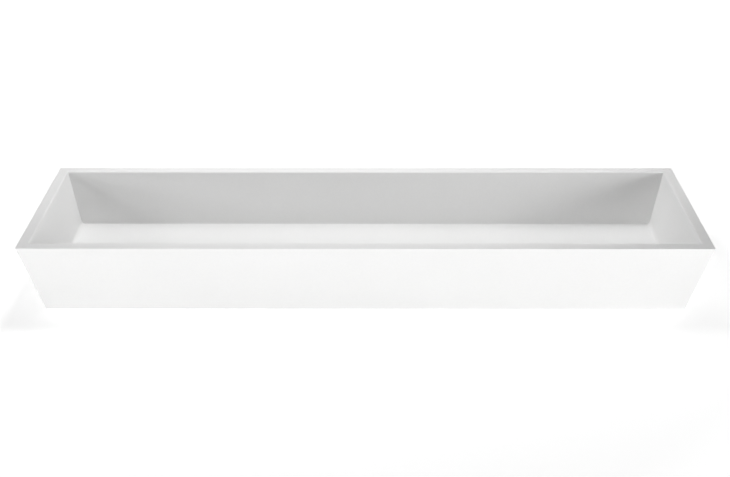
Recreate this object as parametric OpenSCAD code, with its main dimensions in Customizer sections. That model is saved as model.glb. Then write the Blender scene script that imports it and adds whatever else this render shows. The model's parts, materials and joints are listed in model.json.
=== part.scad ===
// Long countertop basin: a tapered trough of bonded solid-surface panels that stands on a countertop,
// with a push-to-close waste in the middle of its floor.
// Millimetres. The origin is the middle of the base, +X runs along the basin, -Y is its front, +Z is up.

/* [Basin] */
// Length over the rim
rim_l = 1200; // [700:10:1600]
// Width over the rim, front to back
rim_w = 332; // [260:2:440]
// Height from the countertop to the rim
basin_h = 137.5; // [110:0.5:180]
// How far each outer face leans in between the rim and the base
lean = 28; // [6:1:40]
// Thickness of each wall, measured level across the rim
wall_t = 20; // [14:1:26]
// Thickness of the floor panel
floor_t = 12; // [10:0.5:15]
// Radius of the eased edge on the inside of the rim
rim_inner_r = 3.5; // [0.5:0.5:5]
// Radius of the eased edge on the outside of the rim
rim_outer_r = 1; // [0.5:0.5:4]
// Radius of the rounded outer corners
corner_r = 4; // [1:0.5:10]
// Radius of the cove where the floor meets the end walls
end_cove_r = 8; // [2:1:16]
// Radius of the cove where the floor meets the long walls
side_cove_r = 2; // [1:0.5:8]
// Width of the bearers under the edge of the floor, at the countertop
bearer_w = 18; // [10:1:30]

/* [Waste outlet] */
// Radius of the flange that shows in the floor
flange_r = 32; // [30:0.5:38]
// Thickness of the flange
flange_t = 2.5; // [2:0.25:4]
// Radius of the free end of the tail, over its G 1 1/4 thread
tail_r = 20.95; // [19:0.05:24]
// Depth from the crest of the tail's thread to its pitch line, where the back nut meets it
thread_depth = 0.75; // [0.5:0.05:1]
// Wall of the tail under the pitch line of its thread
tail_wall = 1.7; // [1.2:0.1:3]
// Length of the tail below the flange
tail_l = 29.5; // [28.5:0.5:60]
// Gap between the end of the tail and the countertop
tail_gap = 1; // [0.5:0.5:20]
// Radius of the hub in the waterway
hub_r = 11; // [10:0.5:12]
// Height of the hub and its spokes
hub_h = 5; // [3:0.5:6]
// Width of each spoke
spoke_w = 3; // [2:0.5:5]
// Depth of the shallow dish round the flange
dish_d = 1.5; // [0.5:0.25:3]
// Radius of the shallow dish
dish_r = 46; // [42:1:60]
// Gap all round the flange in its rebate
rebate_gap = 0.75; // [0.25:0.25:2]
// Gap all round the tail in the hole through the floor
hole_gap = 1.55; // [1:0.05:3]

/* [Washers and back nut] */
// Thickness of the washer under the flange
flange_washer_t = 1.5; // [1:0.25:2.5]
// How far the washer under the flange stays inside its edge
flange_washer_inset = 1; // [0.5:0.5:3]
// Thickness of the rubber washer under the floor
lower_washer_t = 3; // [2:0.5:5]
// Radius of the rubber washer under the floor
lower_washer_r = 30; // [27:0.5:36]
// Height of the rubber nose that fills the hole
nose_h = 2.5; // [1:0.5:4]
// Thickness of the slip ring on the back nut
slip_ring_t = 1; // [0.5:0.25:2]
// Radius of the slip ring
slip_ring_r = 28; // [26:0.5:36]
// Thickness of the back nut
back_nut_t = 7; // [4:0.5:8]
// Width across the flats of the back nut
back_nut_af = 52; // [50:0.5:64]
// Angle of the chamfer on the lower corners of every nut
nut_chamfer = 30; // [10:1:35]
// How far that chamfer reaches in from the flats
nut_chamfer_in = 0.3; // [0.2:0.1:0.5]
// Gap between the tail and the rings round it
ring_gap = 0.15; // [0.05:0.05:0.4]
// Gap between the tail and the back nut at the pitch line
thread_gap = 0.1; // [0.05:0.05:0.3]

/* [Push cartridge] */
// Outer radius of the sleeve
sleeve_r = 8; // [7.75:0.25:9]
// Bore radius of the sleeve
sleeve_bore_r = 6; // [5.5:0.25:6.25]
// Radius of the shoulder that sits on the hub
shoulder_r = 10.5; // [9.5:0.25:12]
// Thickness of the shoulder
shoulder_t = 2; // [1:0.25:3]
// Thickness of the floor of the sleeve
sleeve_floor_t = 1.2; // [0.8:0.1:2]
// Thickness of the ring nut under the hub
ring_nut_t = 3.5; // [2:0.5:4]
// Width across the flats of the ring nut
ring_nut_af = 22; // [20:0.5:25]
// Depth that the cap of the sleeve reaches into it
sleeve_cap_plug = 1.5; // [1:0.25:2]
// Thickness of the cap above the sleeve
sleeve_cap_t = 1; // [0.5:0.25:1.5]
// Gap round the plunger in the sleeve
plunger_gap = 0.3; // [0.1:0.05:0.6]
// Length of the wide part of the plunger
plunger_l = 11; // [10:0.5:12]
// Radius of the stem of the plunger
stem_r = 3.3; // [2.5:0.1:3.5]
// Room left over the plunger when the plug is up
stop_gap = 0.8; // [0.5:0.1:2]
// Gap round sliding and screwed pieces of the cartridge
fit_gap = 0.1; // [0.05:0.05:0.2]
// Gap round the stem in the cap of the sleeve
stem_gap = 0.3; // [0.2:0.05:0.5]
// Radius of the wire of the latch pin
pin_r = 0.5; // [0.3:0.1:0.6]
// Distance of the latch pin from the middle of the sleeve
pin_at = 4.6; // [4.4:0.05:4.8]
// Height of the latch pin over the floor of the sleeve
pin_h = 14.3; // [13.5:0.1:15.5]
// Gap round the latch pin in the groove of the plunger
pin_gap = 0.6; // [0.3:0.1:0.8]
// Length of the latch pin's bent tip
pin_tip = 0.8; // [0.4:0.1:1]
// Diameter of the wire of the spring
spring_wire = 0.7; // [0.4:0.1:0.8]
// Radius of the middle of the spring's turns
spring_r = 3; // [2.4:0.1:3.2]
// Length of the spring when the plug is down
spring_l = 5; // [4.5:0.1:6.5]
// Turns of the spring
spring_turns = 3.5; // [2.5:0.25:3.5]

/* [Plug] */
// How far the plug rises
plug_travel = 8; // [5:0.5:8]
// Radius of the plug's cap
cap_r = 31; // [29:0.5:36]
// Thickness of the cap at its edge
cap_edge_t = 1.8; // [1.4:0.1:3]
// How far the cap domes up from its edge to its middle
cap_rise = 2; // [0.5:0.25:4]
// Depth of the threaded socket under the cap
socket_d = 2; // [1:0.25:2.5]
// Inner radius of the seal under the cap
seal_in_r = 22; // [21:0.5:24]
// Outer radius of the seal under the cap
seal_out_r = 27; // [25:0.5:28.5]
// Height of the seal below the cap
seal_t = 2.5; // [2:0.25:4]
// Depth of the groove that holds the seal
seal_groove = 0.8; // [0.4:0.1:1]
// Gap between the seal and the flange when the plug is down
seat_gap = 0.2; // [0.1:0.05:0.3]
// Thickness of the lock nut under the cap
lock_nut_t = 3; // [2:0.25:3]
// Width across the flats of the lock nut
lock_nut_af = 10; // [9:0.5:13]
// Gap between the lock nut and the cap of the sleeve when the plug is down
lock_nut_gap = 1.7; // [0.5:0.1:2.5]

/* [Hidden] */

$fn = 96;
hex_sides = 6;
edge_steps = 6; // flats in an eased edge or a cove
dome_steps = 16;
over = 5; // how far a cutting shape runs past what it cuts
spoke_angles = [0, 90];

surface_white = "#f1f0ed";
bearer_white = "#dedcd7";
chrome = "#c9cdd1";
brass = "#b8a468";
rubber = "#2c2c2e";
plastic = "#d9d9d4";
steel = "#9ea3a8";

// Heights, from the countertop up
tail_z = tail_gap;
flange_z = tail_z + tail_l;
flange_top_z = flange_z + flange_t;
floor_top_z = flange_top_z + dish_d;
floor_under_z = floor_top_z - floor_t;
rebate_z = flange_z - flange_washer_t;
slip_ring_z = floor_under_z - lower_washer_t - slip_ring_t;
back_nut_z = slip_ring_z - back_nut_t;
seal_z = flange_top_z + seat_gap;
cap_z = seal_z + seal_t;
lock_nut_z = cap_z - lock_nut_t;
sleeve_top_z = lock_nut_z - lock_nut_gap - sleeve_cap_t;
stem_z = sleeve_top_z - sleeve_cap_plug - stop_gap - plug_travel;
plunger_z = stem_z - plunger_l;
spring_z = plunger_z - spring_l;
sleeve_z = spring_z - sleeve_floor_t;
hub_z = sleeve_z + ring_nut_t;
hub_top_z = hub_z + hub_h;

// The walls lean out by this angle, and their faces meet at the corners at slightly less than a right angle
lean_angle = atan(lean / basin_h);
corner_tilt = atan(sqrt(2) * lean / basin_h);
corner_turn = acos(pow(sin(lean_angle), 2));
wall_reach = wall_t + lean;
floor_hole_r = tail_r + hole_gap;
rebate_r = flange_r + rebate_gap;
ring_r = tail_r + ring_gap;
thread_r = tail_r - thread_depth;
bore_r = thread_r - tail_wall;
plunger_r = sleeve_bore_r - plunger_gap;

function arc(centre, r, from, to, steps) =
    [for (i = [0:steps]) centre + r * [cos(from + (to - from) * i / steps), sin(from + (to - from) * i / steps)]];

function hex_r(across_flats) = across_flats / 2 / cos(180 / hex_sides);

// Half the inside of the bowl at a height, from half the size over the rim
function inside(half_rim, z) = half_rim - wall_t - lean * (basin_h - z) / basin_h;

// Room that an edge takes to round two faces that meet at an angle
function ease_length(r, angle) = r / tan(angle / 2);

// A wall's section, with x as the distance from the middle of the basin and y as the height
module wall_section(half_rim) {
    inner = half_rim - wall_t;
    inner_centre = [inner + ease_length(rim_inner_r, 90 + lean_angle), basin_h - rim_inner_r];
    inner_ease = arc(inner_centre, rim_inner_r, 180 - lean_angle, 90, edge_steps);
    outer_centre = [half_rim - ease_length(rim_outer_r, 90 - lean_angle), basin_h - rim_outer_r];
    outer_ease = arc(outer_centre, rim_outer_r, -lean_angle, 90, edge_steps);
    difference() {
        polygon([[half_rim - lean, 0], [half_rim, basin_h], [inner, basin_h], [inner - lean, 0]]);
        polygon(concat(inner_ease, [[inner_centre.x, basin_h + over], [inner - over, basin_h + over],
                                    [inner - over, inner_ease[0].y]]));
        polygon(concat(outer_ease, [[outer_centre.x, basin_h + over], [half_rim + over, basin_h + over],
                                    [half_rim + over, outer_ease[0].y]]));
    }
}

// Runs a section along X, with the section's x to the back and its y up
module along_x(length) {
    rotate([90, 0, 90]) linear_extrude(height = length, center = true) children();
}

// Runs a section along Y, with the section's x to the right and its y up
module along_y(length) {
    rotate([90, 0, 0]) linear_extrude(height = length, center = true) children();
}

// What rounding takes off the outer corner at the back right
module corner_round() {
    half = corner_turn / 2;
    round_arc = arc([-corner_r / cos(half), 0], corner_r, -half, half, edge_steps);
    reach = 2 * corner_r * [cos(half), sin(half)];
    last = round_arc[edge_steps];
    translate([rim_l / 2 - lean, rim_w / 2 - lean, 0])
        rotate([0, corner_tilt, 45])
            translate([0, 0, -over])
                linear_extrude(height = basin_h / cos(corner_tilt) + 2 * over)
                    polygon(concat(round_arc, [last + reach, [last.x + reach.x, -last.y - reach.y]]));
}

// The back wall, between mitres that stand upright at 45 degrees
module long_wall() {
    difference() {
        intersection() {
            along_x(rim_l + 2 * over) wall_section(rim_w / 2);
            linear_extrude(height = basin_h)
                polygon([for (p = [[1, -over], [1, wall_reach + over], [-1, wall_reach + over], [-1, -over]])
                         [p[0] * (rim_l / 2 - p[1]), rim_w / 2 - p[1]]]);
        }
        corner_round();
        mirror([1, 0, 0]) corner_round();
    }
}

// The right wall, between the same mitres
module end_wall() {
    difference() {
        intersection() {
            along_y(rim_w + 2 * over) wall_section(rim_l / 2);
            linear_extrude(height = basin_h)
                polygon([for (p = [[1, -over], [1, wall_reach + over], [-1, wall_reach + over], [-1, -over]])
                         [rim_l / 2 - p[1], p[0] * (rim_w / 2 - p[1])]]);
        }
        corner_round();
        mirror([0, 1, 0]) corner_round();
    }
}

module back_wall() {
    color(surface_white) long_wall();
}

module front_wall() {
    color(surface_white) mirror([0, 1, 0]) long_wall();
}

module right_wall() {
    color(surface_white) end_wall();
}

module left_wall() {
    color(surface_white) mirror([1, 0, 0]) end_wall();
}

// The space between the four walls, from the countertop to the rim
module between_walls() {
    intersection() {
        along_x(rim_l) trapezium(rim_w / 2);
        along_y(rim_w) trapezium(rim_l / 2);
    }
}

module trapezium(half_rim) {
    top = half_rim - wall_t;
    foot = top - lean;
    polygon([[-foot, 0], [foot, 0], [top, basin_h], [-top, basin_h]]);
}

// The section of a cove at the foot of a wall, drawn past the wall and into the floor
module cove_section(half_rim, r) {
    foot = inside(half_rim, floor_top_z);
    centre = [foot - ease_length(r, 90 + lean_angle), floor_top_z + r];
    cove = arc(centre, r, -90, -lean_angle, edge_steps);
    polygon(concat(cove, [[half_rim, cove[edge_steps].y], [half_rim, floor_top_z - floor_t / 2],
                          [centre.x, floor_top_z - floor_t / 2]]));
}

module floor_panel() {
    color(surface_white)
        difference() {
            intersection() {
                between_walls();
                union() {
                    translate([-rim_l / 2, -rim_w / 2, floor_under_z]) cube([rim_l, rim_w, floor_t]);
                    along_x(rim_l) cove_section(rim_w / 2, side_cove_r);
                    mirror([0, 1, 0]) along_x(rim_l) cove_section(rim_w / 2, side_cove_r);
                    along_y(rim_w) cove_section(rim_l / 2, end_cove_r);
                    mirror([1, 0, 0]) along_y(rim_w) cove_section(rim_l / 2, end_cove_r);
                }
            }
            // One turned cutter: the hole, the rebate for the flange and the dish round it
            rotate_extrude()
                polygon([[0, floor_under_z - over], [floor_hole_r, floor_under_z - over], [floor_hole_r, rebate_z],
                         [rebate_r, rebate_z], [rebate_r, flange_top_z], [dish_r, floor_top_z],
                         [dish_r, floor_top_z + over], [0, floor_top_z + over]]);
        }
}

// The bearer along the back wall, as long as the space between the end walls
module long_bearer() {
    foot = inside(rim_w / 2, 0);
    intersection() {
        between_walls();
        translate([-rim_l / 2, foot - bearer_w, 0]) cube([rim_l, bearer_w + lean + over, floor_under_z]);
    }
}

// The bearer along the right wall, between the long bearers
module end_bearer() {
    foot = inside(rim_l / 2, 0);
    half_gap = inside(rim_w / 2, 0) - bearer_w;
    intersection() {
        between_walls();
        translate([foot - bearer_w, -half_gap, 0]) cube([bearer_w + lean + over, 2 * half_gap, floor_under_z]);
    }
}

module back_bearer() {
    color(bearer_white) long_bearer();
}

module front_bearer() {
    color(bearer_white) mirror([0, 1, 0]) long_bearer();
}

module right_bearer() {
    color(bearer_white) end_bearer();
}

module left_bearer() {
    color(bearer_white) mirror([1, 0, 0]) end_bearer();
}

// A turned ring with a rectangular section
module ring(inner_r, outer_r, z, height) {
    rotate_extrude() translate([inner_r, z]) square([outer_r - inner_r, height]);
}

// The flange, the tail and the hub that holds the cartridge. Where the back nut is screwed on, the two meet at the
// pitch line of the thread.
module waste_body() {
    thread_chamfer = 0.8;
    edge_r = 0.8;
    lip_r = 1.5;
    color(chrome)
        difference() {
            union() {
                rotate_extrude()
                    polygon(concat(
                        [[bore_r, tail_z], [tail_r - thread_chamfer, tail_z], [tail_r, tail_z + thread_chamfer],
                         [tail_r, back_nut_z], [thread_r, back_nut_z], [thread_r, slip_ring_z], [tail_r, slip_ring_z],
                         [tail_r, flange_z], [flange_r, flange_z]],
                        arc([flange_r - edge_r, flange_top_z - edge_r], edge_r, 0, 90, edge_steps),
                        arc([bore_r + lip_r, flange_top_z - lip_r], lip_r, 90, 180, edge_steps)));
                translate([0, 0, hub_z]) cylinder(r = hub_r, h = hub_h);
                for (angle = spoke_angles)
                    rotate([0, 0, angle])
                        translate([-bore_r - lip_r / 2, -spoke_w / 2, hub_z])
                            cube([2 * bore_r + lip_r, spoke_w, hub_h]);
            }
            translate([0, 0, hub_z - over]) cylinder(r = sleeve_r + fit_gap, h = hub_h + 2 * over);
        }
}

module flange_washer() {
    color(rubber) ring(ring_r, flange_r - flange_washer_inset, rebate_z, flange_washer_t);
}

// The rubber washer under the floor, with a tapered nose up into the hole
module lower_washer() {
    nose_top_r = ring_r + (floor_hole_r - ring_r) / 3;
    nose_foot_r = floor_hole_r - ring_gap;
    color(rubber)
        rotate_extrude()
            polygon([[ring_r, floor_under_z - lower_washer_t], [lower_washer_r, floor_under_z - lower_washer_t],
                     [lower_washer_r, floor_under_z], [nose_foot_r, floor_under_z],
                     [nose_top_r, floor_under_z + nose_h], [ring_r, floor_under_z + nose_h]]);
}

module slip_ring() {
    color(plastic) ring(ring_r, slip_ring_r, slip_ring_z, slip_ring_t);
}

// A hexagonal nut whose lower corners are chamfered
module hex_nut(across_flats, hole_r, z, height) {
    corner = hex_r(across_flats);
    land_r = across_flats / 2 - nut_chamfer_in;
    difference() {
        intersection() {
            translate([0, 0, z]) cylinder(r = corner, h = height, $fn = hex_sides);
            rotate_extrude()
                polygon([[0, z], [land_r, z], [corner + over, z + (corner + over - land_r) * tan(nut_chamfer)],
                         [corner + over, z + height + over], [0, z + height + over]]);
        }
        translate([0, 0, z - over]) cylinder(r = hole_r, h = height + 2 * over);
    }
}

module back_nut() {
    color(brass) hex_nut(back_nut_af, thread_r + thread_gap, back_nut_z, back_nut_t);
}

// The sleeve hangs in the hub by its shoulder, with a hole in its floor for the latch pin
module cartridge_sleeve() {
    color(plastic)
        difference() {
            rotate_extrude()
                polygon([[0, sleeve_z], [sleeve_r, sleeve_z], [sleeve_r, hub_top_z], [shoulder_r, hub_top_z],
                         [shoulder_r, hub_top_z + shoulder_t], [sleeve_r, hub_top_z + shoulder_t],
                         [sleeve_r, sleeve_top_z], [sleeve_bore_r, sleeve_top_z], [sleeve_bore_r, spring_z],
                         [0, spring_z]]);
            translate([pin_at, 0, sleeve_z - over]) cylinder(r = pin_r + fit_gap, h = sleeve_floor_t + 2 * over);
        }
}

module cartridge_ring_nut() {
    color(brass) hex_nut(ring_nut_af, sleeve_r + fit_gap, sleeve_z, ring_nut_t);
}

// The snap-in cap that keeps the plunger in the sleeve
module cartridge_cap() {
    bore = stem_r + stem_gap;
    color(plastic)
        rotate_extrude()
            polygon([[bore, sleeve_top_z - sleeve_cap_plug], [sleeve_bore_r - fit_gap, sleeve_top_z - sleeve_cap_plug],
                     [sleeve_bore_r - fit_gap, sleeve_top_z], [sleeve_r, sleeve_top_z],
                     [sleeve_r, sleeve_top_z + sleeve_cap_t], [bore, sleeve_top_z + sleeve_cap_t]]);
}

// A bent wire that follows the cam groove of the plunger and holds the plug down or lets it up
module latch_pin() {
    color(steel)
        union() {
            translate([pin_at, 0, sleeve_z]) cylinder(r = pin_r, h = sleeve_floor_t + pin_h, $fn = 32);
            translate([pin_at, 0, spring_z + pin_h]) sphere(r = pin_r, $fn = 32);
            translate([pin_at - pin_tip, 0, spring_z + pin_h])
                rotate([0, 90, 0]) cylinder(r = pin_r, h = pin_tip, $fn = 32);
        }
}

function spring_centre(turn) =
    let (rise = spring_l - spring_wire - 2 * fit_gap)
    [spring_r * cos(360 * turn), spring_r * sin(360 * turn),
     spring_z + fit_gap + spring_wire / 2 + rise * turn / spring_turns];

// One turned wire, drawn as rings of points along a helix
module cartridge_spring() {
    rings_per_turn = 16;
    sides = 6;
    last = round(spring_turns * rings_per_turn);
    points = [for (i = [0:last], k = [0:sides - 1])
              let (turn = spring_turns * i / last, a = 360 * k / sides, out = spring_wire / 2 * cos(a))
              spring_centre(turn) + [out * cos(360 * turn), out * sin(360 * turn), spring_wire / 2 * sin(a)]];
    ends = [for (k = [1:sides - 2]) each [[0, k, k + 1],
            [last * sides, last * sides + k + 1, last * sides + k]]];
    skin = [for (i = [0:last - 1], k = [0:sides - 1])
            let (a = i * sides + k, b = i * sides + (k + 1) % sides)
            each [[a, a + sides, b], [b, a + sides, b + sides]]];
    color(steel) polyhedron(points = points, faces = concat(ends, skin));
}

// The plunger stands on the spring, and its stem is screwed into the cap of the plug
module plunger() {
    socket_room = 0.2;
    groove_in = pin_at - pin_tip - pin_gap;
    groove_half = pin_r + pin_gap;
    color(plastic)
        difference() {
            rotate_extrude()
                polygon([[0, plunger_z], [plunger_r, plunger_z], [plunger_r, stem_z], [stem_r, stem_z],
                         [stem_r, cap_z + socket_d - socket_room], [0, cap_z + socket_d - socket_room]]);
            translate([groove_in, -groove_half, plunger_z - over])
                cube([plunger_r, 2 * groove_half, plunger_l + over]);
        }
}

module plug_lock_nut() {
    color(brass) hex_nut(lock_nut_af, stem_r + fit_gap, lock_nut_z, lock_nut_t);
}

module plug_seal() {
    color(rubber) ring(seal_in_r, seal_out_r, seal_z, seal_t + seal_groove);
}

// The domed cap, with a round edge, a groove for the seal and a socket for the stem
module plug_cap() {
    edge_r = cap_edge_t / 2;
    edge = [cap_r - edge_r, cap_z + edge_r];
    rise = cap_rise + edge_r;
    dome_r = (pow(edge.x, 2) + pow(rise, 2) - pow(edge_r, 2)) / (2 * (rise - edge_r));
    edge_angle = acos(edge.x / (dome_r - edge_r));
    dome = arc([0, edge.y + rise - dome_r], dome_r, edge_angle, 90, dome_steps);
    color(chrome)
        rotate_extrude()
            polygon(concat(
                [[0, cap_z + socket_d], [stem_r + fit_gap, cap_z + socket_d], [stem_r + fit_gap, cap_z],
                 [seal_in_r, cap_z], [seal_in_r, cap_z + seal_groove], [seal_out_r, cap_z + seal_groove],
                 [seal_out_r, cap_z]],
                arc(edge, edge_r, -90, edge_angle, edge_steps),
                [for (i = [1:dome_steps - 1]) dome[i]],
                [[0, edge.y + rise]]));
}

front_wall();
back_wall();
left_wall();
right_wall();
floor_panel();
front_bearer();
back_bearer();
left_bearer();
right_bearer();
waste_body();
flange_washer();
lower_washer();
slip_ring();
back_nut();
cartridge_sleeve();
cartridge_ring_nut();
cartridge_cap();
latch_pin();
cartridge_spring();
plunger();
plug_lock_nut();
plug_seal();
plug_cap();
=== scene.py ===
"""A long tapered countertop basin of white solid surface on a plain pale floor."""
import json
import math

import bpy
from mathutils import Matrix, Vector


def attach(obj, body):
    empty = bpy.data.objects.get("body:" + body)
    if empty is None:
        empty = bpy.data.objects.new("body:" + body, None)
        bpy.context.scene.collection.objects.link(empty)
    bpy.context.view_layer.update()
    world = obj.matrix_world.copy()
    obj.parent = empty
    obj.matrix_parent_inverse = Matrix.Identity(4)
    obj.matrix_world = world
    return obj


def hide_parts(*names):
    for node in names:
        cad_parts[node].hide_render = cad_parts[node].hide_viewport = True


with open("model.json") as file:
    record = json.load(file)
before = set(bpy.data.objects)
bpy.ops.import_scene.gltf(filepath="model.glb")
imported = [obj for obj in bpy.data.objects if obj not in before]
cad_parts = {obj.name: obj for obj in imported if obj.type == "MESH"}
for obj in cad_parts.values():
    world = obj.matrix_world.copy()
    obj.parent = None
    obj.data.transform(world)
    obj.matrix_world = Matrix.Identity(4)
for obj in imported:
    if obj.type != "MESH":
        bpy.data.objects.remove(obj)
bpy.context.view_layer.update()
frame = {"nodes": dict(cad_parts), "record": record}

# The camera that was fitted to the photograph: its frame and focal length in pixels, its place in
# metres, and its turn about X, Y and Z in degrees. The width of the sensor is in millimetres, and only
# sets the scale of the lens.
IMAGE_W = 730
FOCAL_PX = 1150.4
CAMERA_AT = (0.0076, -1.8904, 1.0808)
CAMERA_TURN = (61.838, 0.064, 0.209)
SENSOR_W = 36.0


def make_camera():
    data = bpy.data.cameras.new("camera")
    data.sensor_fit = "HORIZONTAL"
    data.sensor_width = SENSOR_W
    data.lens = FOCAL_PX * SENSOR_W / IMAGE_W
    camera = bpy.data.objects.new("camera", data)
    camera.location = CAMERA_AT
    camera.rotation_euler = [math.radians(angle) for angle in CAMERA_TURN]
    bpy.context.scene.collection.objects.link(camera)
    bpy.context.scene.camera = camera


class Shader:
    """The node tree of a material or a world, with short ways to add nodes and join them."""

    def __init__(self, owner, output="OutputMaterial"):
        self.owner = owner
        owner.use_nodes = True
        self.tree = owner.node_tree
        self.tree.nodes.clear()
        self.output = self.add(output)

    def add(self, kind, settings=None, **inputs):
        """Adds a node. Settings are its own properties, and an input is named with _ for each space."""
        node = self.tree.nodes.new("ShaderNode" + kind)
        for key, value in (settings or {}).items():
            setattr(node, key, value)
        for key, value in inputs.items():
            self.put(node, key.replace("_", " "), value)
        return node

    def put(self, node, key, value):
        """Gives an input, found by name or number, a number, a colour or another node's socket."""
        socket = node.inputs[key]
        if isinstance(value, bpy.types.NodeSocket):
            self.tree.links.new(value, socket)
        else:
            socket.default_value = value

    def compute(self, operation, *values):
        """The result of a Math node."""
        node = self.add("Math", {"operation": operation})
        for number, value in enumerate(values):
            self.put(node, number, value)
        return node.outputs[0]

    def place(self):
        """The point on the object, in metres."""
        return self.add("TexCoord").outputs["Object"]

    def stretched(self, x, y, z):
        """The point on the object with its axes scaled, for grain that runs one way."""
        return self.add("Mapping", Vector=self.place(), Scale=(x, y, z)).outputs["Vector"]

    def noise(self, scale, detail=2.0, roughness=0.5, at=None):
        """Noise about a middle of 0.5. The scale is its features to a metre, or to a unit of a vector."""
        node = self.add("TexNoise", Scale=scale, Detail=detail, Roughness=roughness)
        self.put(node, "Vector", at or self.place())
        return node.outputs["Fac"]

    def spread(self, value, low, high, start=0.3, end=0.7):
        """Carries a value from start..end over to low..high. Noise lies mostly between 0.3 and 0.7."""
        node = self.add("MapRange", Value=value, From_Min=start, From_Max=end, To_Min=low, To_Max=high)
        return node.outputs["Result"]

    def total(self, *parts):
        """The sum of each value times its weight."""
        found = 0.0
        for value, weight in parts:
            found = self.compute("MULTIPLY_ADD", value, weight, found)
        return found

    def blend(self, share, first, second):
        """The first colour where the share is 0, and the second where it is 1."""
        node = self.add("Mix", {"data_type": "RGBA"})
        # This node names its number, vector and colour sockets alike, and the colours are at 6, 7 and 2
        for number, value in ((0, share), (6, first), (7, second)):
            self.put(node, number, value)
        return node.outputs[2]

    def bump(self, height, depth):
        """A bump whose height of 1 stands depth metres high."""
        return self.add("Bump", Height=height, Distance=depth).outputs["Normal"]

    def seen_directly(self):
        """1 for what is seen straight, in a mirror or through glass, and 0 for light on the object."""
        ray = self.add("LightPath").outputs
        straight = self.compute("MAXIMUM", ray["Is Camera Ray"], ray["Is Glossy Ray"])
        return self.compute("MAXIMUM", straight, ray["Is Transmission Ray"])

    def surface(self, **inputs):
        """Joins a Principled shader to the output, and gives back the finished material."""
        shader = self.add("BsdfPrincipled", **inputs)
        self.put(self.output, "Surface", shader.outputs["BSDF"])
        return self.owner


def new_material(name):
    return Shader(bpy.data.materials.new(name))


def rgb(red, green, blue):
    return (red, green, blue, 1.0)


WHITE = rgb(1.0, 1.0, 1.0)


def solid_surface():
    """Cast mineral-filled acrylic, sanded to a matte white. Faces that look down keep its raw back."""
    s = new_material("solid_surface")
    cloud = s.noise(9.0, detail=3.0)
    mottle = s.noise(260.0, detail=3.0, roughness=0.65)
    grain = s.noise(1500.0, roughness=0.6)
    sanding = s.noise(420.0, detail=4.0, roughness=0.7)
    scratches = s.noise(1.0, detail=4.0, roughness=0.65, at=s.stretched(35.0, 1300.0, 1300.0))

    tone = s.spread(s.total((cloud, 0.3), (mottle, 0.45), (grain, 0.25)), 0.0, 1.0)
    colour = s.blend(tone, rgb(0.836, 0.836, 0.833), rgb(0.872, 0.872, 0.869))
    roughness = s.spread(s.total((sanding, 0.6), (cloud, 0.4)), 0.42, 0.5)
    height = s.total((grain, 0.45), (sanding, 0.3), (mottle, 0.25))

    raw_tone = s.spread(s.total((cloud, 0.4), (scratches, 0.6)), 0.0, 1.0)
    raw_colour = s.blend(raw_tone, rgb(0.765, 0.762, 0.748), rgb(0.825, 0.823, 0.812))
    raw_roughness = s.spread(scratches, 0.56, 0.68)
    raw_height = s.total((scratches, 1.6), (grain, 0.6))

    facing = s.add("SeparateXYZ", Vector=s.add("TexCoord").outputs["Normal"])
    raw = s.spread(facing.outputs["Z"], 1.0, 0.0, start=-0.9, end=-0.6)
    return s.surface(
        Base_Color=s.blend(raw, colour, raw_colour),
        Roughness=s.spread(raw, roughness, raw_roughness, start=0.0, end=1.0),
        Normal=s.bump(s.spread(raw, height, raw_height, start=0.0, end=1.0), depth=0.00008),
    )


def bearer_board():
    """Offcuts of the same sheet, sawn and left unsanded."""
    s = new_material("bearer_board")
    cloud = s.noise(14.0, detail=3.0)
    saw_marks = s.noise(1.0, detail=3.0, roughness=0.6, at=s.stretched(900.0, 900.0, 40.0))
    return s.surface(
        Base_Color=s.blend(s.spread(cloud, 0.0, 1.0), rgb(0.70, 0.69, 0.665), rgb(0.76, 0.752, 0.735)),
        Roughness=s.spread(saw_marks, 0.5, 0.68),
        Normal=s.bump(saw_marks, depth=0.00012),
    )


def chrome():
    """Bright plating with faint marks of wiping."""
    s = new_material("chrome")
    wipe = s.noise(38.0, detail=4.0)
    fine = s.noise(1100.0)
    return s.surface(
        Base_Color=s.blend(s.spread(wipe, 0.0, 1.0), rgb(0.66, 0.67, 0.685), rgb(0.73, 0.738, 0.748)),
        Metallic=1.0,
        Roughness=s.spread(s.total((wipe, 0.7), (fine, 0.3)), 0.05, 0.13),
        Normal=s.bump(fine, depth=0.000006),
    )


def brass():
    """Turned brass with the marks of the tool, tarnished in patches."""
    s = new_material("brass")
    tarnish = s.noise(120.0, detail=4.0)
    turning = s.noise(1.0, at=s.stretched(60.0, 60.0, 3200.0))
    return s.surface(
        Base_Color=s.blend(s.spread(tarnish, 0.0, 1.0), rgb(0.52, 0.405, 0.19), rgb(0.71, 0.58, 0.33)),
        Metallic=1.0,
        Roughness=s.spread(s.total((tarnish, 0.5), (turning, 0.5)), 0.24, 0.42),
        Normal=s.bump(turning, depth=0.00003),
    )


def black_rubber():
    """Moulded rubber with a grey bloom."""
    s = new_material("black_rubber")
    mould = s.noise(700.0, detail=3.0)
    bloom = s.noise(90.0, detail=3.0)
    return s.surface(
        Base_Color=s.blend(s.spread(bloom, 0.0, 1.0), rgb(0.028, 0.028, 0.029), rgb(0.05, 0.05, 0.052)),
        Roughness=s.spread(bloom, 0.62, 0.78),
        Normal=s.bump(mould, depth=0.00005),
    )


def pale_plastic():
    """Moulded plastic, off white and clouded."""
    s = new_material("pale_plastic")
    cloud = s.noise(110.0)
    mould = s.noise(1600.0)
    return s.surface(
        Base_Color=s.blend(s.spread(cloud, 0.0, 1.0), rgb(0.72, 0.72, 0.685), rgb(0.79, 0.79, 0.765)),
        Roughness=s.spread(mould, 0.34, 0.46),
        Normal=s.bump(mould, depth=0.00002),
    )


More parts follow.
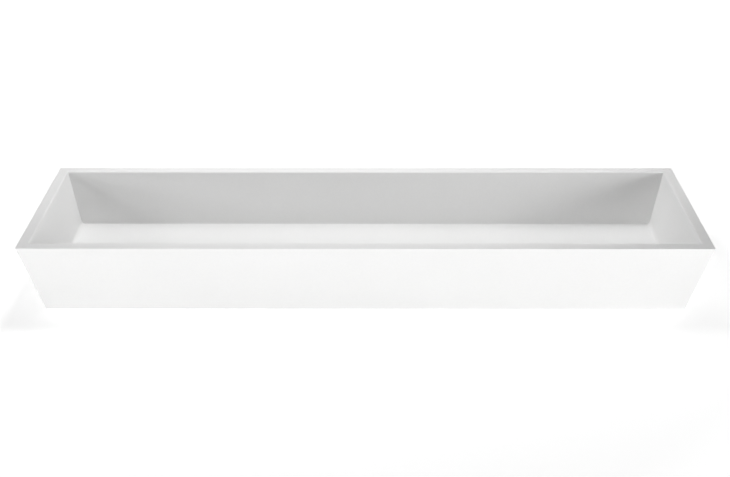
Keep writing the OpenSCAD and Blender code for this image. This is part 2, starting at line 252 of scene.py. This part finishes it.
def spring_steel():
    """Drawn wire."""
    s = new_material("spring_steel")
    drawn = s.noise(1500.0)
    return s.surface(
        Base_Color=s.blend(s.spread(drawn, 0.0, 1.0), rgb(0.46, 0.465, 0.475), rgb(0.6, 0.605, 0.615)),
        Metallic=1.0,
        Roughness=s.spread(drawn, 0.24, 0.38),
        Normal=s.bump(drawn, depth=0.00001),
    )


def dress_nodes(made):
    """Gives each CAD node the material of its slot in the record."""
    slot_of = {row["node"]: row["material_slot"] for row in frame["record"]["subparts"]}
    for name, node in frame["nodes"].items():
        node.data.materials.clear()
        node.data.materials.append(made[slot_of[name]])


# The waste body, in millimetres, as in the CAD. Its tail's free end is at TAIL_Z, and the back nut sits
# on it from NUT_Z to NUT_TOP_Z.
TAIL_Z = 1.0
NUT_Z = 11.5
NUT_TOP_Z = 18.5
FLANGE_Z = 30.5
FLANGE_TOP_Z = 33.0
FLANGE_R = 32.0
BORE_R = 18.5
TAIL_R = 20.95
TAIL_EDGE = 0.3
FLANGE_EDGE = 0.8
BORE_EDGE = 1.5

# The hub inside it, on spokes that reach a little into the hub and into the tail
HUB_Z = 6.0
HUB_TOP_Z = 11.0
HUB_BORE_R = 8.1
HUB_R = 11.0
HUB_EDGE = 0.4
SPOKES = 4
SPOKE_HALF_W = 1.5
SPOKE_EDGE = 0.3
SPOKE_REACH = 0.5

# The G 1 1/4 thread, from the free end of the tail to the back nut. Under the nut the tail is plain, as
# in the CAD.
PITCH_LINE_R = 20.2
THREAD_PITCH = 2.309
THREAD_DEPTH = 1.479
THREAD_ROUNDING = 0.45
THREAD_LEAD_IN = 0.8

# How finely it is divided: points round a turned shape, rows of points to a pitch of the thread, and
# steps in a round edge
SIDES = 144
ROWS_PER_PITCH = 20
EDGE_STEPS = 6

# The angle in degrees from which an edge is sharp, and a millimetre in Blender's metres
SHARP_FROM = 35.0
MILLIMETRE = 0.001


def thread_r(z, turn):
    """Radius of the thread's rounded ridge at a height and a share of a turn."""
    phase = (z / THREAD_PITCH - turn) % 1.0
    ridge = 1.0 - abs(2.0 * phase - 1.0)
    round_ridge = ridge * ridge * (3.0 - 2.0 * ridge)
    height = (1.0 - THREAD_ROUNDING) * ridge + THREAD_ROUNDING * round_ridge
    lead_in = TAIL_R - THREAD_LEAD_IN + (z - TAIL_Z)
    return min(TAIL_R - THREAD_DEPTH * (1.0 - height), lead_in)


def round_edge(centre_z, centre_r, radius, start, end):
    """Heights and radii along a round edge, from one angle to another, with 0 outwards and 90 up."""
    found = []
    for i in range(EDGE_STEPS + 1):
        angle = math.radians(start + (end - start) * i / EDGE_STEPS)
        found.append((centre_z + radius * math.sin(angle), centre_r + radius * math.cos(angle)))
    return found


class Solid:
    """Points and faces of one piece, built up shape by shape in millimetres."""

    def __init__(self):
        self.points = []
        self.faces = []

    def turned(self, section):
        """Turns a closed section about the Z axis. It is a list of heights and radii, and a radius may
        be a function of the share of a turn."""
        first = len(self.points)
        for z, radius in section:
            for k in range(SIDES):
                r = radius(k / SIDES) if callable(radius) else radius
                angle = 2.0 * math.pi * k / SIDES
                self.points.append((r * math.cos(angle), r * math.sin(angle), z))
        for i in range(len(section)):
            row, above = first + i * SIDES, first + (i + 1) % len(section) * SIDES
            for k in range(SIDES):
                after = (k + 1) % SIDES
                self.faces.append((row + k, row + after, above + after, above + k))

    def spoke(self, start, end, low, high, turn):
        """A radial bar with chamfered edges, between two radii and two heights."""
        side, inner = SPOKE_HALF_W, SPOKE_HALF_W - SPOKE_EDGE
        outline = [(-inner, low), (inner, low), (side, low + SPOKE_EDGE), (side, high - SPOKE_EDGE),
                   (inner, high), (-inner, high), (-side, high - SPOKE_EDGE), (-side, low + SPOKE_EDGE)]
        first, count = len(self.points), len(outline)
        for along in (start, end):
            for across, z in outline:
                self.points.append((along * math.cos(turn) - across * math.sin(turn),
                                    along * math.sin(turn) + across * math.cos(turn), z))
        self.faces.append(tuple(range(first + count - 1, first - 1, -1)))
        self.faces.append(tuple(range(first + count, first + 2 * count)))
        for k in range(count):
            after = (k + 1) % count
            self.faces.append((first + k, first + after, first + count + after, first + count + k))

    def piece(self, name, material):
        """The finished object, smooth except at edges sharper than SHARP_FROM degrees."""
        mesh = bpy.data.meshes.new(name)
        points = [tuple(MILLIMETRE * v for v in point) for point in self.points]
        mesh.from_pydata(points, [], self.faces)
        mesh.polygons.foreach_set("use_smooth", [True] * len(mesh.polygons))
        mesh.set_sharp_from_angle(angle=math.radians(SHARP_FROM))
        mesh.materials.append(material)
        mesh.update()
        made = bpy.data.objects.new(name, mesh)
        bpy.context.scene.collection.objects.link(made)
        return made


def threaded_section():
    """The waste body's section, from the free end of its tail up the outside and back down its bore."""
    rows = round((NUT_Z - TAIL_Z) / THREAD_PITCH * ROWS_PER_PITCH)
    section = []
    for i in range(rows + 1):
        z = TAIL_Z + (NUT_Z - TAIL_Z) * i / rows
        section.append((z, lambda turn, z=z: thread_r(z, turn)))
    section += [(NUT_Z, PITCH_LINE_R), (NUT_TOP_Z, PITCH_LINE_R), (NUT_TOP_Z, TAIL_R),
                (FLANGE_Z, TAIL_R), (FLANGE_Z, FLANGE_R)]
    section += round_edge(FLANGE_TOP_Z - FLANGE_EDGE, FLANGE_R - FLANGE_EDGE, FLANGE_EDGE, 0.0, 90.0)
    section += round_edge(FLANGE_TOP_Z - BORE_EDGE, BORE_R + BORE_EDGE, BORE_EDGE, 90.0, 180.0)
    section += [(TAIL_Z + TAIL_EDGE, BORE_R), (TAIL_Z, BORE_R + TAIL_EDGE)]
    return section


def make_waste_body(material):
    """The CAD's waste body, with the thread cut in its free end."""
    solid = Solid()
    solid.turned(threaded_section())
    solid.turned([(HUB_Z, HUB_R - HUB_EDGE), (HUB_Z + HUB_EDGE, HUB_R), (HUB_TOP_Z - HUB_EDGE, HUB_R),
                  (HUB_TOP_Z, HUB_R - HUB_EDGE), (HUB_TOP_Z, HUB_BORE_R), (HUB_Z, HUB_BORE_R)])
    for k in range(SPOKES):
        solid.spoke(HUB_R - SPOKE_REACH, BORE_R + SPOKE_REACH, HUB_Z, HUB_TOP_Z,
                    math.radians(360.0 * k / SPOKES))
    made = solid.piece("waste_body_threaded", material)
    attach(made, "basin")
    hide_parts("waste_body")


# The floor, in metres. Where it is seen it glows, by LIFT_NEAR up to the distance NEAR from the middle
# of the basin and by LIFT_FAR from the distance FAR on. It looks white and keeps the basin's shadow.
FLOOR_HALF = 9.0
FLOOR_COLOUR = rgb(0.8, 0.8, 0.8)
LIFT_NEAR = 0.55
LIFT_FAR = 1.0
NEAR = 0.7
FAR = 1.5


def make_floor():
    """A matte white floor that looks white to the camera and still takes the basin's shadow."""
    mesh = bpy.data.meshes.new("floor")
    corners = [(x * FLOOR_HALF, y * FLOOR_HALF, 0.0) for x, y in ((-1, -1), (1, -1), (1, 1), (-1, 1))]
    mesh.from_pydata(corners, [], [(0, 1, 2, 3)])
    floor = bpy.data.objects.new("floor", mesh)
    bpy.context.scene.collection.objects.link(floor)
    s = new_material("floor")
    away = s.add("VectorMath", {"operation": "LENGTH"})
    s.put(away, 0, s.place())
    lift = s.spread(away.outputs["Value"], LIFT_NEAR, LIFT_FAR, start=NEAR, end=FAR)
    mesh.materials.append(s.surface(
        Base_Color=FLOOR_COLOUR,
        Roughness=0.9,
        Specular_IOR_Level=0.1,
        Emission_Color=WHITE,
        Emission_Strength=s.compute("MULTIPLY", s.seen_directly(), lift),
    ))


# How strong the world is as light on the object, and as it is seen
WORLD_LIGHT = 0.08
WORLD_SEEN = 1.0


def make_world():
    """Even light from all round, seen as plain white."""
    world = bpy.data.worlds.new("studio")
    s = Shader(world, "OutputWorld")
    strength = s.spread(s.seen_directly(), WORLD_LIGHT, WORLD_SEEN, start=0.0, end=1.0)
    background = s.add("Background", Color=WHITE, Strength=strength)
    s.put(s.output, "Surface", background.outputs["Background"])
    bpy.context.scene.world = world


# Each soft box: where it hangs, what it points at, its width and height, all in metres, its power in
# watts, and the spread of its beam in degrees. The low ones light only the outer faces. The two over
# the bowl's ends hang behind the basin. They light its floor and rims, but not the inner faces of the
# back wall and of the end that is near.
SOFT_BOXES = {
    "front_right": ((1.40, -1.67, 0.41), (0.0, 0.0, 0.1), 0.45, 0.45, 2.12, 180),
    "side_right": ((1.89, -1.09, 0.41), (0.0, 0.0, 0.1), 0.45, 0.45, 10.3, 180),
    "side_left": ((-1.71, -0.99, 0.41), (0.0, 0.0, 0.1), 0.2, 0.2, 3.78, 180),
    "side_left_high": ((-1.65, -0.95, 0.72), (0.0, 0.0, 0.1), 0.2, 0.2, 3.23, 180),
    "top_left": ((-0.25, 0.22, 1.15), (-0.25, 0.22, 0.1), 0.3, 0.3, 6.04, 180),
    "back_wide": ((0.0, 0.42, 0.85), (0.0, 0.1, 0.1), 1.3, 0.25, 1.89, 180),
    "back_right": ((0.62, 0.38, 0.8), (0.5, 0.1, 0.1), 0.5, 0.25, 0.65, 180),
    "bowl_middle": ((0.0, 0.0, 1.1), (0.0, 0.0, 0.03), 0.8, 0.12, 0.125, 40),
    "bowl_right": ((0.3, 0.02, 1.1), (0.3, 0.02, 0.03), 0.3, 0.12, 0.104, 40),
    "bowl_right_end": ((0.72, 0.4, 1.1), (0.47, 0.1, 0.06), 0.1, 0.1, 0.0261, 25),
    "bowl_left_end": ((-0.72, 0.4, 1.1), (-0.49, 0.1, 0.06), 0.1, 0.1, 0.0218, 25),
    "low_front": ((0.0, -1.6, 0.07), (0.0, 0.0, 0.07), 3.2, 0.1, 17.8, 180),
    "low_back": ((0.0, 1.6, 0.07), (0.0, 0.0, 0.07), 3.2, 0.1, 15.6, 180),
    "low_left": ((-2.0, 0.2, 0.07), (-0.6, 0.0, 0.07), 1.2, 0.1, 5.5, 180),
    "low_right": ((2.0, 0.2, 0.07), (0.6, 0.0, 0.07), 1.2, 0.1, 5.5, 180),
}

# Boxes from this height up are left out of reflections, where they would show as odd patches in the
# polished plug
OVERHEAD_Z = 0.75


def make_lights():
    for name, (place, target, width, height, power, spread) in SOFT_BOXES.items():
        data = bpy.data.lights.new(name, "AREA")
        data.shape = "RECTANGLE"
        data.size = width
        data.size_y = height
        data.energy = power
        data.spread = math.radians(spread)
        light = bpy.data.objects.new(name, data)
        light.location = place
        light.visible_glossy = place[2] < OVERHEAD_Z
        light.rotation_mode = "QUATERNION"
        light.rotation_quaternion = (Vector(target) - Vector(place)).to_track_quat("-Z", "Y")
        bpy.context.scene.collection.objects.link(light)


FINISHES = (solid_surface, bearer_board, chrome, brass, black_rubber, pale_plastic, spring_steel)

make_camera()
finishes = {make.__name__: make() for make in FINISHES}
dress_nodes(finishes)
make_waste_body(finishes["chrome"])
make_floor()
make_world()
make_lights()
bpy.context.scene.view_settings.view_transform = "Standard"
